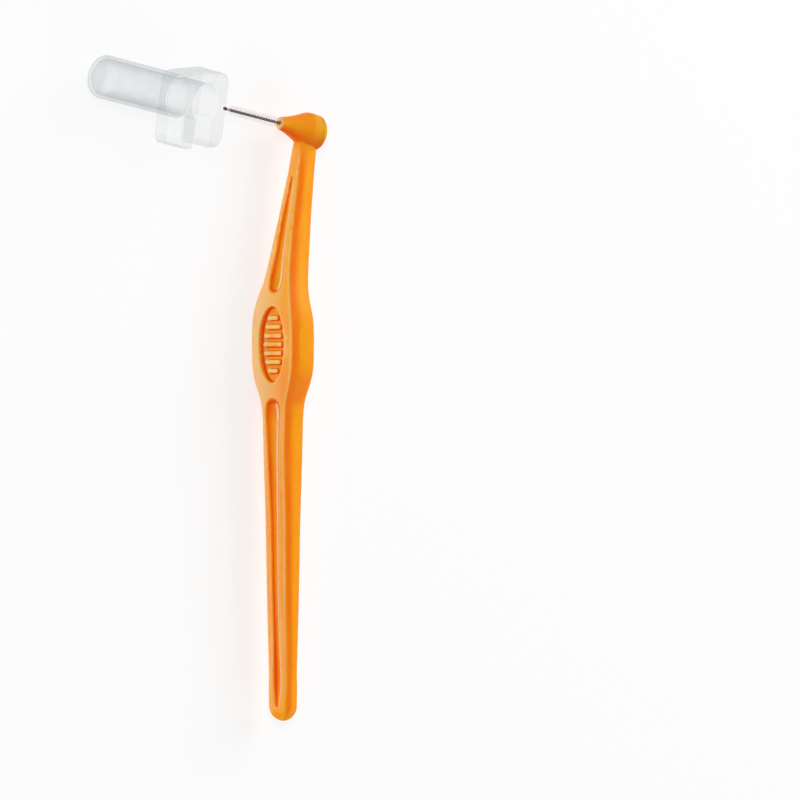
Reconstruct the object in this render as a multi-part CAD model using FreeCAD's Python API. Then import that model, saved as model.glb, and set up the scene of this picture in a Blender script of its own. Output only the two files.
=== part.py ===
import FreeCAD
import Part
import math
import os

Vector = FreeCAD.Vector

# Interdental brush lying on the side of its handle's bulge, with its clear cap pulled off.
# +Z is up and runs across the handle's width. The wire points along -Y, the handle's free
# end is towards +X, and the origin is on the floor under the middle of the bulge.

# Angles in degrees
WIRE_TILT = 9.0
NECK_LEAN = 10.2

# Handle, lengths along its spine in mm
BULGE_TO_GRIP = 14.5
GRIP_LENGTH = 47.0
TAIL_DOME_LENGTH = 2.6
BULGE_TO_SHOULDER = 11.1
NECK_LENGTH = 24.6
BULGE_TO_KINK = 5.0
KINK_RADIUS = 18.0

# Handle, half widths of the front face and half thicknesses
BULGE_HALF_WIDTH = 5.3
GRIP_HALF_WIDTH = 2.85
TAIL_HALF_WIDTH = 2.18
SHOULDER_HALF_WIDTH = 3.27
NECK_TOP_HALF_WIDTH = 0.95
BULGE_HALF_THICKNESS = 2.68
GRIP_HALF_THICKNESS = 2.28
TAIL_HALF_THICKNESS = 1.32
SHOULDER_HALF_THICKNESS = 2.34
NECK_TOP_HALF_THICKNESS = 1.82

# Handle, how far its sides swell, its edge radius and the flat that it lies on
SIDE_SWELL = 0.36
EDGE_RADIUS = 0.3
REST_FLAT_DEPTH = 0.06

# Grooves of the front and back faces
GROOVE_DEPTH = 0.72
LOWER_GROOVE_START = 11.1
LOWER_GROOVE_LENGTH = 50.0
LOWER_GROOVE_HALF_WIDTH = 1.95
UPPER_GROOVE_START = 10.0
UPPER_GROOVE_LENGTH = 18.5
UPPER_GROOVE_HALF_WIDTH = 1.7
LOWER_GROOVE_TIP_HALF_WIDTH = 0.65
UPPER_GROOVE_TIP_HALF_WIDTH = 0.2

# Sunk oval on the bulge's front face, and its plain raised grip bars
OVAL_HALF_LENGTH = 6.7
OVAL_HALF_WIDTH = 3.35
OVAL_DEPTH = 0.8
OVAL_DRAFT = 0.5
BAR_COUNT = 7
BAR_PITCH = 1.5
BAR_WIDTH = 0.75
BAR_HEIGHT = 0.5
BAR_MARGIN = 0.45

# Head: a nozzle that widens into a drum, along the wire's line
HEAD_LENGTH = 7.65
NOZZLE_RADIUS = 1.08
DRUM_RADIUS = 3.05
NOZZLE_EDGE_RADIUS = 0.25
NECK_FRONT_TO_NOZZLE = 4.45

# Rear lid and the pocket that its plug seats in
LID_RADIUS = 2.95
LID_THICKNESS = 0.75
LID_DROP = 0.2
LID_GAP = 0.15
LID_EDGE_RADIUS = 0.3
PLUG_RADIUS = 2.05
PLUG_LENGTH = 1.2
PLUG_CLEARANCE = 0.05
CHAMBER_RADIUS = 1.5
CHAMBER_DEPTH = 0.7

# Wire, its coating and the bristles
WIRE_FREE_LENGTH = 12.5
CORE_RADIUS = 0.2
COATING_RADIUS = 0.3
COATING_GAP = 0.01
BORE_CLEARANCE = 0.02
TIP_COVER = 0.25
TAIL_STRAND_RADIUS = 0.1
TAIL_STRAND_OFFSET = 0.085
TAIL_ARM_LENGTH = 1.1
TAIL_BEND_RADIUS = 0.3
BRISTLE_RADIUS = 1.0
BRISTLE_FIRST = 0.25
BRISTLE_LENGTH = 11.3
BRISTLE_TIP_BEVEL = 0.3

# Clear cap
CAP_BORE_RADIUS = 3.1
CAP_WALL = 0.55
CAP_TIP_ROOM = 0.4
CAP_END_RADIUS = 1.6
CAP_BORE_END_RADIUS = 1.2
CAP_NECK_GAP = 0.25
CAP_HEAD_GAP = 0.25
CAP_COLLAR_LENGTH = 5.6
CAP_COLLAR_ABOVE = 4.95
CAP_COLLAR_BELOW = 7.65
CAP_COLLAR_CORNER = 1.8
CAP_TAKEN_OFF_GAP = 4.0

# How far a cutting tool runs past the surface that it cuts, and how near counts as the same
OVERRUN = 0.4
SAME_PLACE = 0.01

# Stations of the handle: place, width and thickness, as shares of the way between two ends
GRIP_STATION_SHARES = (
    (0.18, 0.02, 0.0), (0.3, 0.09, 0.02), (0.41, 0.24, 0.2), (0.53, 0.51, 0.55),
    (0.65, 0.78, 0.8), (0.78, 0.92, 0.95), (1.0, 1.0, 1.0))
TAIL_STATION_SHARES = (
    (0.25, 0.27, 0.29), (0.47, 0.42, 0.52), (0.7, 0.6, 0.75), (1.0, 1.0, 1.0))
SHOULDER_STATION_SHARES = (
    (0.23, 0.02, 0.0), (0.39, 0.1, 0.08), (0.54, 0.27, 0.3), (0.7, 0.53, 0.6),
    (0.85, 0.8, 0.9), (1.0, 1.0, 1.0))
NECK_STATION_SHARES = (
    (0.14, 0.22, 0.06), (0.28, 0.39, 0.13), (0.42, 0.53, 0.33), (0.56, 0.64, 0.55),
    (0.71, 0.76, 0.75), (0.85, 0.88, 0.9), (1.0, 1.0, 1.0))
DOME_TURN_SHARES = (0.0, 0.2, 0.4, 0.6, 0.78, 0.93)

# Grooves: place along the groove and half width, as shares
LOWER_GROOVE_SHARES = ((0.0, 1.0), (0.1, 0.85), (0.3, 0.67), (0.7, 0.49))
UPPER_GROOVE_SHARES = ((0.0, 1.0), (0.3, 0.72), (0.65, 0.55), (0.85, 0.34))
ROUND_END_TURN_SHARES = (0.3, 0.55, 0.75, 0.93)

# Head outline: place along the head, and radius from the nozzle's to the drum's, as shares
HEAD_OUTLINE_SHARES = (
    (0.0, 0.0), (0.3, 0.3), (0.56, 0.68), (0.76, 0.965), (0.87, 1.0), (1.0, 0.95))

SPINE_HEIGHT = BULGE_HALF_WIDTH + SIDE_SWELL - REST_FLAT_DEPTH
NECK_TOP_TO_WIRE = DRUM_RADIUS / 2
Z_AXIS = Vector(0, 0, 1)
ALONG_WIRE = Vector(0, 1, 0)


def blend(start, end, share):
    return start + (end - start) * share


def skin(sections):
    """Solid through a row of like sections; a low degree keeps it from waving between them."""
    degree = 2
    return Part.makeLoft(sections, True, False, False, degree)


def spine(distance):
    """Point and direction of the handle's spine, from the bulge's middle towards the head."""
    lean = math.radians(NECK_LEAN)
    past_kink = distance - BULGE_TO_KINK
    if past_kink <= 0:
        return Vector(-distance, 0, SPINE_HEIGHT), 0.0
    turn = min(past_kink / KINK_RADIUS, lean)
    rest = max(past_kink - KINK_RADIUS * lean, 0)
    x = -BULGE_TO_KINK - KINK_RADIUS * math.sin(turn) - rest * math.cos(turn)
    y = KINK_RADIUS * (1 - math.cos(turn)) + rest * math.sin(turn)
    return Vector(x, y, SPINE_HEIGHT), turn


def on_section(distance, across, up):
    """A point beside the spine: across is positive towards the back face."""
    centre, turn = spine(distance)
    return centre + Vector(math.sin(turn) * across, math.cos(turn) * across, up)


def handle_stations():
    """Distance along the spine, half width and half thickness, from the tail to the head."""
    bulge = (BULGE_HALF_WIDTH, BULGE_HALF_THICKNESS)
    grip = (GRIP_HALF_WIDTH, GRIP_HALF_THICKNESS)
    tail = (TAIL_HALF_WIDTH, TAIL_HALF_THICKNESS)
    shoulder = (SHOULDER_HALF_WIDTH, SHOULDER_HALF_THICKNESS)
    neck_top = (NECK_TOP_HALF_WIDTH, NECK_TOP_HALF_THICKNESS)
    stretches = (
        (0.0, -BULGE_TO_GRIP, bulge, grip, GRIP_STATION_SHARES),
        (-BULGE_TO_GRIP, -GRIP_LENGTH, grip, tail, TAIL_STATION_SHARES),
        (0.0, BULGE_TO_SHOULDER, bulge, shoulder, SHOULDER_STATION_SHARES),
        (BULGE_TO_SHOULDER, NECK_LENGTH, shoulder, neck_top, NECK_STATION_SHARES))
    stations = [(0.0, BULGE_HALF_WIDTH, BULGE_HALF_THICKNESS)]
    for first, length, start, end, shares in stretches:
        for place, width_share, thickness_share in shares:
            stations.append((first + length * place,
                             blend(start[0], end[0], width_share),
                             blend(start[1], end[1], thickness_share)))
    return sorted(stations)


def half_width_at(distance):
    """Half width of the front face anywhere along the spine, straight between stations."""
    stations = handle_stations()
    for below, above in zip(stations, stations[1:]):
        if distance <= above[0]:
            share = (distance - below[0]) / (above[0] - below[0])
            return blend(below[1], above[1], max(share, 0))
    return stations[-1][1]


def half_thickness_at(distance):
    """Half thickness anywhere along the spine, straight between stations."""
    stations = handle_stations()
    for below, above in zip(stations, stations[1:]):
        if distance <= above[0]:
            share = (distance - below[0]) / (above[0] - below[0])
            return blend(below[2], above[2], max(share, 0))
    return stations[-1][2]


def handle_section(distance, half_width, half_thickness, scale=1.0):
    """Flat front and back, swelling sides, rounded edges; tangent arcs all the way round."""
    width = half_width * scale
    thick = half_thickness * scale
    swell = SIDE_SWELL * scale
    edge = EDGE_RADIUS * scale
    side_radius = (thick ** 2 + swell ** 2) / (2 * swell)
    side_centre = width + swell - side_radius
    edge_across = thick - edge
    edge_up = side_centre + math.sqrt((side_radius - edge) ** 2 - edge_across ** 2)
    meet_angle = math.atan2(edge_up - side_centre, edge_across)
    corner = []
    for angle in (0.0, meet_angle / 2, meet_angle):
        corner.append((edge_across + edge * math.cos(angle), edge_up + edge * math.sin(angle)))
    side_top = (0.0, side_centre + side_radius)

    def at(across, up):
        return on_section(distance, across, up)

    back_top = [at(across, up) for across, up in corner]
    front_top = [at(-across, up) for across, up in corner]
    back_low = [at(across, -up) for across, up in corner]
    front_low = [at(-across, -up) for across, up in corner]
    edges = [
        Part.Arc(*back_top).toShape(),
        Part.Arc(back_top[2], at(*side_top), front_top[2]).toShape(),
        Part.Arc(front_top[2], front_top[1], front_top[0]).toShape(),
        Part.makeLine(front_top[0], front_low[0]),
        Part.Arc(*front_low).toShape(),
        Part.Arc(front_low[2], at(side_top[0], -side_top[1]), back_low[2]).toShape(),
        Part.Arc(back_low[2], back_low[1], back_low[0]).toShape(),
        Part.makeLine(back_low[0], back_top[0])]
    return Part.Wire(edges)


def handle_blank():
    """Tail, grip, bulge and neck as one smooth skin, with a domed tail."""
    stations = handle_stations()
    body = skin([handle_section(*station) for station in stations])
    tail_place, tail_width, tail_thickness = stations[0]
    dome_sections = []
    for share in DOME_TURN_SHARES:
        turn = math.radians(90) * share
        place = tail_place - TAIL_DOME_LENGTH * math.sin(turn)
        dome_sections.append(
            handle_section(place, tail_width, tail_thickness, math.cos(turn)))
    return body.fuse(skin(dome_sections))


def groove_section(distance, half_width, depth, side):
    """Round-bottomed channel section; side is -1 on the front face and 1 on the back."""
    face = half_thickness_at(distance)

    def at(inward, up):
        return on_section(distance, side * (face - inward), up)

    edges = [
        Part.makeLine(at(-OVERRUN, -half_width), at(-OVERRUN, half_width)),
        Part.makeLine(at(-OVERRUN, half_width), at(0, half_width)),
        Part.Arc(at(0, half_width), at(depth, 0), at(0, -half_width)).toShape(),
        Part.makeLine(at(0, -half_width), at(-OVERRUN, -half_width))]
    return Part.Wire(edges)


def round_end_stations(place, outward, half_width, depth):
    """Stations that round off a groove's end like the bowl of a ball."""
    radius = (half_width ** 2 + depth ** 2) / (2 * depth)
    stations = []
    for share in ROUND_END_TURN_SHARES:
        reach = half_width * math.sin(math.radians(90) * share)
        stations.append((place + outward * reach,
                         math.sqrt(half_width ** 2 - reach ** 2),
                         math.sqrt(radius ** 2 - reach ** 2) - radius + depth))
    return stations


def groove(side, start, length, half_width, shares, tip_half_width):
    """Round-bottomed channel with rounded ends; a negative length runs towards the tail."""
    outward = math.copysign(1, length)
    middle = []
    for place_share, width_share in shares:
        middle.append((start + length * place_share, half_width * width_share,
                       GROOVE_DEPTH * math.sqrt(width_share)))
    tip_depth = GROOVE_DEPTH * math.sqrt(tip_half_width / half_width)
    middle.append((start + length, tip_half_width, tip_depth))
    near = round_end_stations(start, -outward, half_width, GROOVE_DEPTH)
    far = round_end_stations(start + length, outward, tip_half_width, tip_depth)
    return skin([groove_section(*station, side) for station in near[::-1] + middle + far])


def oval_wire(half_length, half_width, across):
    """An ellipse along the spine, in a plane parallel to the front face."""
    centre = Vector(0, across, SPINE_HEIGHT)
    tip = centre + Vector(half_length, 0, 0)
    side = centre + Vector(0, 0, half_width)
    return Part.Wire(Part.Ellipse(tip, side, centre).toShape())


def oval_recess():
    """Sunk oval with sloping walls on the bulge's front face."""
    floor = -BULGE_HALF_THICKNESS + OVAL_DEPTH
    top = -BULGE_HALF_THICKNESS - OVERRUN
    slope = OVAL_DRAFT / OVAL_DEPTH * OVERRUN
    wide = oval_wire(OVAL_HALF_LENGTH + slope, OVAL_HALF_WIDTH + slope, top)
    narrow = oval_wire(OVAL_HALF_LENGTH - OVAL_DRAFT, OVAL_HALF_WIDTH - OVAL_DRAFT, floor)
    return Part.makeLoft([wide, narrow], True, True)


def grip_bar(x, straight):
    """One plain bar with round ends, standing on the oval's floor."""
    foot = -BULGE_HALF_THICKNESS + OVAL_DEPTH + OVERRUN
    side = BAR_WIDTH / 2

    def at(along, up):
        return Vector(x + along, foot, SPINE_HEIGHT + up)

    edges = [
        Part.makeLine(at(-side, -straight), at(-side, straight)),
        Part.Arc(at(-side, straight), at(0, straight + side), at(side, straight)).toShape(),
        Part.makeLine(at(side, straight), at(side, -straight)),
        Part.Arc(at(side, -straight), at(0, -straight - side), at(-side, -straight)).toShape()]
    return Part.Face(Part.Wire(edges)).extrude(-ALONG_WIRE * (BAR_HEIGHT + OVERRUN))


def grip_bars():
    """The row of bars, each as long as the oval lets it be."""
    floor_length = OVAL_HALF_LENGTH - OVAL_DRAFT
    floor_width = OVAL_HALF_WIDTH - OVAL_DRAFT
    bars = []
    for number in range(BAR_COUNT):
        x = (number - (BAR_COUNT - 1) / 2) * BAR_PITCH
        reach = (abs(x) + BAR_WIDTH / 2) / floor_length
        room = floor_width * math.sqrt(max(1 - reach ** 2, 0)) - BAR_MARGIN
        straight = room - BAR_WIDTH / 2
        if straight > 0:
            bars.append(grip_bar(x, straight))
    return bars


def in_row_frame(shape):
    """Turn the handle so that the wire lies along -Y."""
    turned = shape.copy()
    turned.rotate(Vector(0, 0, 0), Z_AXIS, WIRE_TILT)
    return turned


def head_origin():
    """Middle of the nozzle's front: it puts the neck's end behind the nozzle."""
    neck_end, turn = spine(BULGE_TO_SHOULDER + NECK_LENGTH)
    tilt = math.radians(WIRE_TILT)
    x = neck_end.x * math.cos(tilt) - neck_end.y * math.sin(tilt)
    y = neck_end.x * math.sin(tilt) + neck_end.y * math.cos(tilt)
    return Vector(x - NECK_TOP_TO_WIRE, y - NECK_TOP_HALF_THICKNESS - NECK_FRONT_TO_NOZZLE,
                  SPINE_HEIGHT)


HEAD = head_origin()


def on_head(along, out=0.0):
    """A point of the head: along is behind the nozzle's front, out is towards the top."""
    return HEAD + Vector(-out, along, 0)


def turned(points_along_out):
    """Solid of revolution about the wire from a closed outline of (along, out) points."""
    outline = Part.makePolygon([on_head(*point) for point in points_along_out])
    return Part.Face(outline).revolve(HEAD, ALONG_WIRE, 360)


def rounded(shape, along, radius, size):
    """Round the circular edges that lie at one place along the wire and have one radius."""
    picked = []
    for edge in shape.Edges:
        if not isinstance(edge.Curve, Part.Circle):
            continue
        near_place = abs(edge.Curve.Center.y - HEAD.y - along) < SAME_PLACE
        if near_place and abs(edge.Curve.Radius - radius) < SAME_PLACE:
            picked.append(edge)
    return shape.makeFillet(size, picked)


def head_blank():
    """Nozzle and drum as one turned form, closed behind by a flat face."""
    points = []
    for place_share, radius_share in HEAD_OUTLINE_SHARES:
        points.append(on_head(HEAD_LENGTH * place_share,
                              blend(NOZZLE_RADIUS, DRUM_RADIUS, radius_share)))
    flank = Part.BSplineCurve()
    flank.interpolate(points)
    edges = [
        Part.makeLine(on_head(0), points[0]),
        flank.toShape(),
        Part.makeLine(points[-1], on_head(HEAD_LENGTH)),
        Part.makeLine(on_head(HEAD_LENGTH), on_head(0))]
    solid = Part.Face(Part.Wire(edges)).revolve(HEAD, ALONG_WIRE, 360)
    return rounded(solid, 0.0, NOZZLE_RADIUS, NOZZLE_EDGE_RADIUS)


def cylinder(radius, start, end, drop=0.0):
    """Cylinder along the wire between two places, dropped towards the handle."""
    return Part.makeCylinder(radius, end - start, on_head(start, -drop), ALONG_WIRE)


def handle():
    """One moulding: tail, grip, bulge, neck and head, bored for the wire and the lid's plug."""
    blank = handle_blank()
    tools = [oval_recess()]
    for side in (-1, 1):
        tools.append(groove(side, -LOWER_GROOVE_START, -LOWER_GROOVE_LENGTH,
                            LOWER_GROOVE_HALF_WIDTH, LOWER_GROOVE_SHARES,
                            LOWER_GROOVE_TIP_HALF_WIDTH))
        tools.append(groove(side, UPPER_GROOVE_START, UPPER_GROOVE_LENGTH,
                            UPPER_GROOVE_HALF_WIDTH, UPPER_GROOVE_SHARES,
                            UPPER_GROOVE_TIP_HALF_WIDTH))
    for tool in tools:
        blank = blank.cut(tool)
    blank = blank.fuse(grip_bars())
    blank = in_row_frame(blank)
    reach = BULGE_HALF_WIDTH * 2
    rest_cut = Part.makeBox(2 * reach, 2 * reach, reach, Vector(-reach, -reach, -reach))
    top_cut = rest_cut.copy()
    top_cut.translate(Vector(0, 0, reach + 2 * SPINE_HEIGHT))
    blank = blank.cut([rest_cut, top_cut])
    solid = blank.fuse(head_blank()).removeSplitter()
    plug_floor = HEAD_LENGTH - PLUG_LENGTH
    chamber_floor = plug_floor - CHAMBER_DEPTH
    bore_radius = COATING_RADIUS + BORE_CLEARANCE
    return solid.cut([
        cylinder(LID_RADIUS + LID_GAP, HEAD_LENGTH, 2 * HEAD_LENGTH, LID_DROP),
        cylinder(PLUG_RADIUS + PLUG_CLEARANCE, plug_floor, HEAD_LENGTH + OVERRUN),
        cylinder(CHAMBER_RADIUS, chamber_floor, plug_floor + OVERRUN),
        cylinder(bore_radius, -OVERRUN, chamber_floor + OVERRUN)])


def rear_lid():
    """Round lid that hangs a little lower than the drum, with the plug that holds it."""
    start = HEAD_LENGTH + LID_GAP
    end = start + LID_THICKNESS
    disc = cylinder(LID_RADIUS, start, end, LID_DROP)
    disc = rounded(disc, end, LID_RADIUS, LID_EDGE_RADIUS)
    plug = cylinder(PLUG_RADIUS, HEAD_LENGTH - PLUG_LENGTH, start + LID_THICKNESS / 2)
    return disc.fuse(plug).removeSplitter()


def tail_strand(side):
    """One leg's end, bent outwards across the chamber so that the wire can't pull out."""
    floor = HEAD_LENGTH - PLUG_LENGTH - CHAMBER_DEPTH
    line = floor + TAIL_STRAND_RADIUS + BORE_CLEARANCE
    offset = side * TAIL_STRAND_OFFSET
    bend = TAIL_BEND_RADIUS
    slant = bend * (1 - math.cos(math.radians(45)))
    start = on_head(line - 2 * bend, offset)
    low = on_head(line - bend, offset)
    middle = on_head(line - slant, offset + side * slant)
    high = on_head(line, offset + side * bend)
    end = on_head(line, offset + side * (bend + TAIL_ARM_LENGTH - 2 * TAIL_STRAND_RADIUS))
    path = Part.Wire([Part.makeLine(start, low), Part.Arc(low, middle, high).toShape(),
                      Part.makeLine(high, end)])
    ring = Part.Wire(Part.makeCircle(TAIL_STRAND_RADIUS, start, ALONG_WIRE))
    return path.makePipeShell([ring], True, False)


def wire_core():
    """Steel wire, folded at the tip and twisted: the pair's envelope and its two bent ends."""
    tail = HEAD_LENGTH - PLUG_LENGTH - CHAMBER_DEPTH - TAIL_BEND_RADIUS
    tip = TIP_COVER - WIRE_FREE_LENGTH
    core = cylinder(CORE_RADIUS, tip, tail)
    return core.fuse([tail_strand(-1), tail_strand(1)])


def wire_coating():
    """Plastic sleeve on the twisted wire, with a closed round tip."""
    inner = CORE_RADIUS + COATING_GAP
    back = HEAD_LENGTH - PLUG_LENGTH - CHAMBER_DEPTH - 3 * TAIL_BEND_RADIUS
    tip_centre = COATING_RADIUS - WIRE_FREE_LENGTH
    sleeve = cylinder(COATING_RADIUS, tip_centre, back)
    tip = Part.makeSphere(COATING_RADIUS, on_head(tip_centre))
    hollow = cylinder(inner, TIP_COVER - COATING_GAP - WIRE_FREE_LENGTH, back + OVERRUN)
    return sleeve.fuse(tip).removeSplitter().cut(hollow)


def bristles():
    """The round space that the bristles fill about the wire."""
    inner = COATING_RADIUS + COATING_GAP
    near = -BRISTLE_FIRST
    far = near - BRISTLE_LENGTH
    bevel = BRISTLE_TIP_BEVEL
    return turned([(near, inner), (near, BRISTLE_RADIUS), (far + bevel, BRISTLE_RADIUS),
                   (far, BRISTLE_RADIUS - bevel), (far, inner), (near, inner)])


def cap_places():
    """Places along the wire with the cap pushed on: bore's end, collar's front and mouth."""
    collar_front = NECK_FRONT_TO_NOZZLE - CAP_NECK_GAP
    mouth = collar_front + CAP_COLLAR_LENGTH
    bore_end = -WIRE_FREE_LENGTH - CAP_TIP_ROOM
    return bore_end, collar_front, mouth


def cap_collar(front, mouth):
    """Rounded block about the drum, as wide as the bulge so that the cap lies level with it."""
    height = CAP_COLLAR_ABOVE + CAP_COLLAR_BELOW
    corner = on_head(front, CAP_COLLAR_ABOVE)
    block = Part.makeBox(height, mouth - front, 2 * SPINE_HEIGHT,
                         Vector(corner.x, corner.y, 0))
    lengthwise = []
    for edge in block.Edges:
        direction = edge.tangentAt(edge.FirstParameter)
        if abs(direction.y) > abs(direction.x) + abs(direction.z):
            lengthwise.append(edge)
    return block.makeFillet(CAP_COLLAR_CORNER, lengthwise)


def slot_half_width():
    """Room for the neck's swelling sides down to the collar's lower edge."""
    neck_top = BULGE_TO_SHOULDER + NECK_LENGTH
    lower_edge = neck_top + NECK_TOP_TO_WIRE - CAP_COLLAR_BELOW
    return half_width_at(lower_edge) + SIDE_SWELL + CAP_NECK_GAP


def protective_cap():
    """Clear cap: closed tube for wire and nozzle, and a slotted collar for drum and neck."""
    bore_end, front, mouth = cap_places()
    outer_radius = CAP_BORE_RADIUS + CAP_WALL
    tube = cylinder(outer_radius, bore_end - CAP_WALL, front + OVERRUN)
    tube = rounded(tube, bore_end - CAP_WALL, outer_radius, CAP_END_RADIUS)
    solid = tube.fuse(cap_collar(front, mouth))
    bore = cylinder(CAP_BORE_RADIUS, bore_end, mouth + OVERRUN)
    bore = rounded(bore, bore_end, CAP_BORE_RADIUS, CAP_BORE_END_RADIUS)
    drum_room = max(DRUM_RADIUS, LID_RADIUS + LID_DROP) + CAP_HEAD_GAP
    half_slot = slot_half_width()
    slot_start = on_head(front - OVERRUN)
    slot = Part.makeBox(CAP_COLLAR_BELOW + OVERRUN, mouth - front + 2 * OVERRUN, 2 * half_slot,
                        slot_start - Vector(0, 0, half_slot))
    tube_wall = cylinder(outer_radius, front - 2 * OVERRUN, front)
    slot = slot.cut(tube_wall)
    solid = solid.cut([bore, cylinder(drum_room, front, mouth + OVERRUN), slot])
    taken_off = mouth + WIRE_FREE_LENGTH + CAP_TAKEN_OFF_GAP
    solid.translate(Vector(0, -taken_off, 0))
    return solid


PIECES = {
    "handle": handle,
    "rear_lid": rear_lid,
    "wire_core": wire_core,
    "wire_coating": wire_coating,
    "bristles": bristles,
    "protective_cap": protective_cap,
}

os.makedirs("parts", exist_ok=True)
for node, make in PIECES.items():
    shape = make()
    shape.exportStep("parts/" + node + ".step")
    box = shape.BoundBox
    print(node, "solids", len(shape.Solids), "valid", shape.isValid(), "volume",
          round(shape.Volume, 3), "x", round(box.XMin, 2), round(box.XMax, 2),
          "y", round(box.YMin, 2), round(box.YMax, 2), "z", round(box.ZMin, 2), round(box.ZMax, 2))

bore_end, collar_front, mouth = cap_places()
print("cap travel", mouth + WIRE_FREE_LENGTH + CAP_TAKEN_OFF_GAP)
print("nozzle front", HEAD.x, HEAD.y, HEAD.z, "slot half width", slot_half_width())
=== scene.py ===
import math

import bmesh
import bpy
import numpy
from mathutils import Matrix, Vector


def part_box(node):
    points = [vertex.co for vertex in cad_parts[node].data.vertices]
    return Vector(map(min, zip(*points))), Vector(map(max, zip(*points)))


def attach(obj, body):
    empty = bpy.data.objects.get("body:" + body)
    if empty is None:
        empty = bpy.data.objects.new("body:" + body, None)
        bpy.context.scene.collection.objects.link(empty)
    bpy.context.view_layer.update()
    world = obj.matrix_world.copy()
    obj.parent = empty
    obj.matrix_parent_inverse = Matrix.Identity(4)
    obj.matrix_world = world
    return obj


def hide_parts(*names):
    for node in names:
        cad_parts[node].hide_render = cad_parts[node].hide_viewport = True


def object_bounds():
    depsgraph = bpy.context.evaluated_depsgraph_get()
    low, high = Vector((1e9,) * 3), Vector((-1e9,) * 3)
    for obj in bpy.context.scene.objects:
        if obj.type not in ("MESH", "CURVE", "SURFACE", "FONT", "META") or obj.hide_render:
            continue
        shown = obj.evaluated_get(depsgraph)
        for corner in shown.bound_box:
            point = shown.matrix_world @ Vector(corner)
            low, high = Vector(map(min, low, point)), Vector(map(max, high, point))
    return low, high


bl_info = {
    "name": "Interdental Brush",
    "version": (1, 0, 0),
    "blender": (4, 5, 0),
    "location": "View3D > Sidebar > Brush",
    "description": "Moulded handle, twisted wire, filaments and clear cap of an interdental brush",
    "category": "Object",
}

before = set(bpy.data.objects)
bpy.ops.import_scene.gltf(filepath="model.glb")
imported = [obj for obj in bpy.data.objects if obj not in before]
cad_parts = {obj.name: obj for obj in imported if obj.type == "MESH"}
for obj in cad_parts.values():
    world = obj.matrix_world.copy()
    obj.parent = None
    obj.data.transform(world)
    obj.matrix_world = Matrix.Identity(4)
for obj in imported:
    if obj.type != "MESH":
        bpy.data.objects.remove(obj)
CAD_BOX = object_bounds()

MM = 0.001
TURN = 2 * math.pi

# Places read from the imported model
HANDLE_LOW, HANDLE_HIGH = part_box("handle")
SLEEVE_LOW, SLEEVE_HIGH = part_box("wire_coating")
CORE_LOW, CORE_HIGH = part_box("wire_core")
BRUSH_LOW, BRUSH_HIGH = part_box("bristles")
WIRE_X = (SLEEVE_LOW.x + SLEEVE_HIGH.x) / 2
WIRE_Z = (SLEEVE_LOW.z + SLEEVE_HIGH.z) / 2
WIRE_TIP_Y = SLEEVE_LOW.y
SLEEVE_RADIUS = (SLEEVE_HIGH.x - SLEEVE_LOW.x) / 2
BRISTLE_REACH = (BRUSH_HIGH.x - BRUSH_LOW.x) / 2
HANDLE_MIDDLE_Z = (HANDLE_LOW.z + HANDLE_HIGH.z) / 2

# Turn of the handle's spine from the X axis, and the stretch where the head's painted light and
# shade give way
HANDLE_TILT = math.radians(9)
HEAD_FADE = (-34 * MM, -31 * MM)


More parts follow.
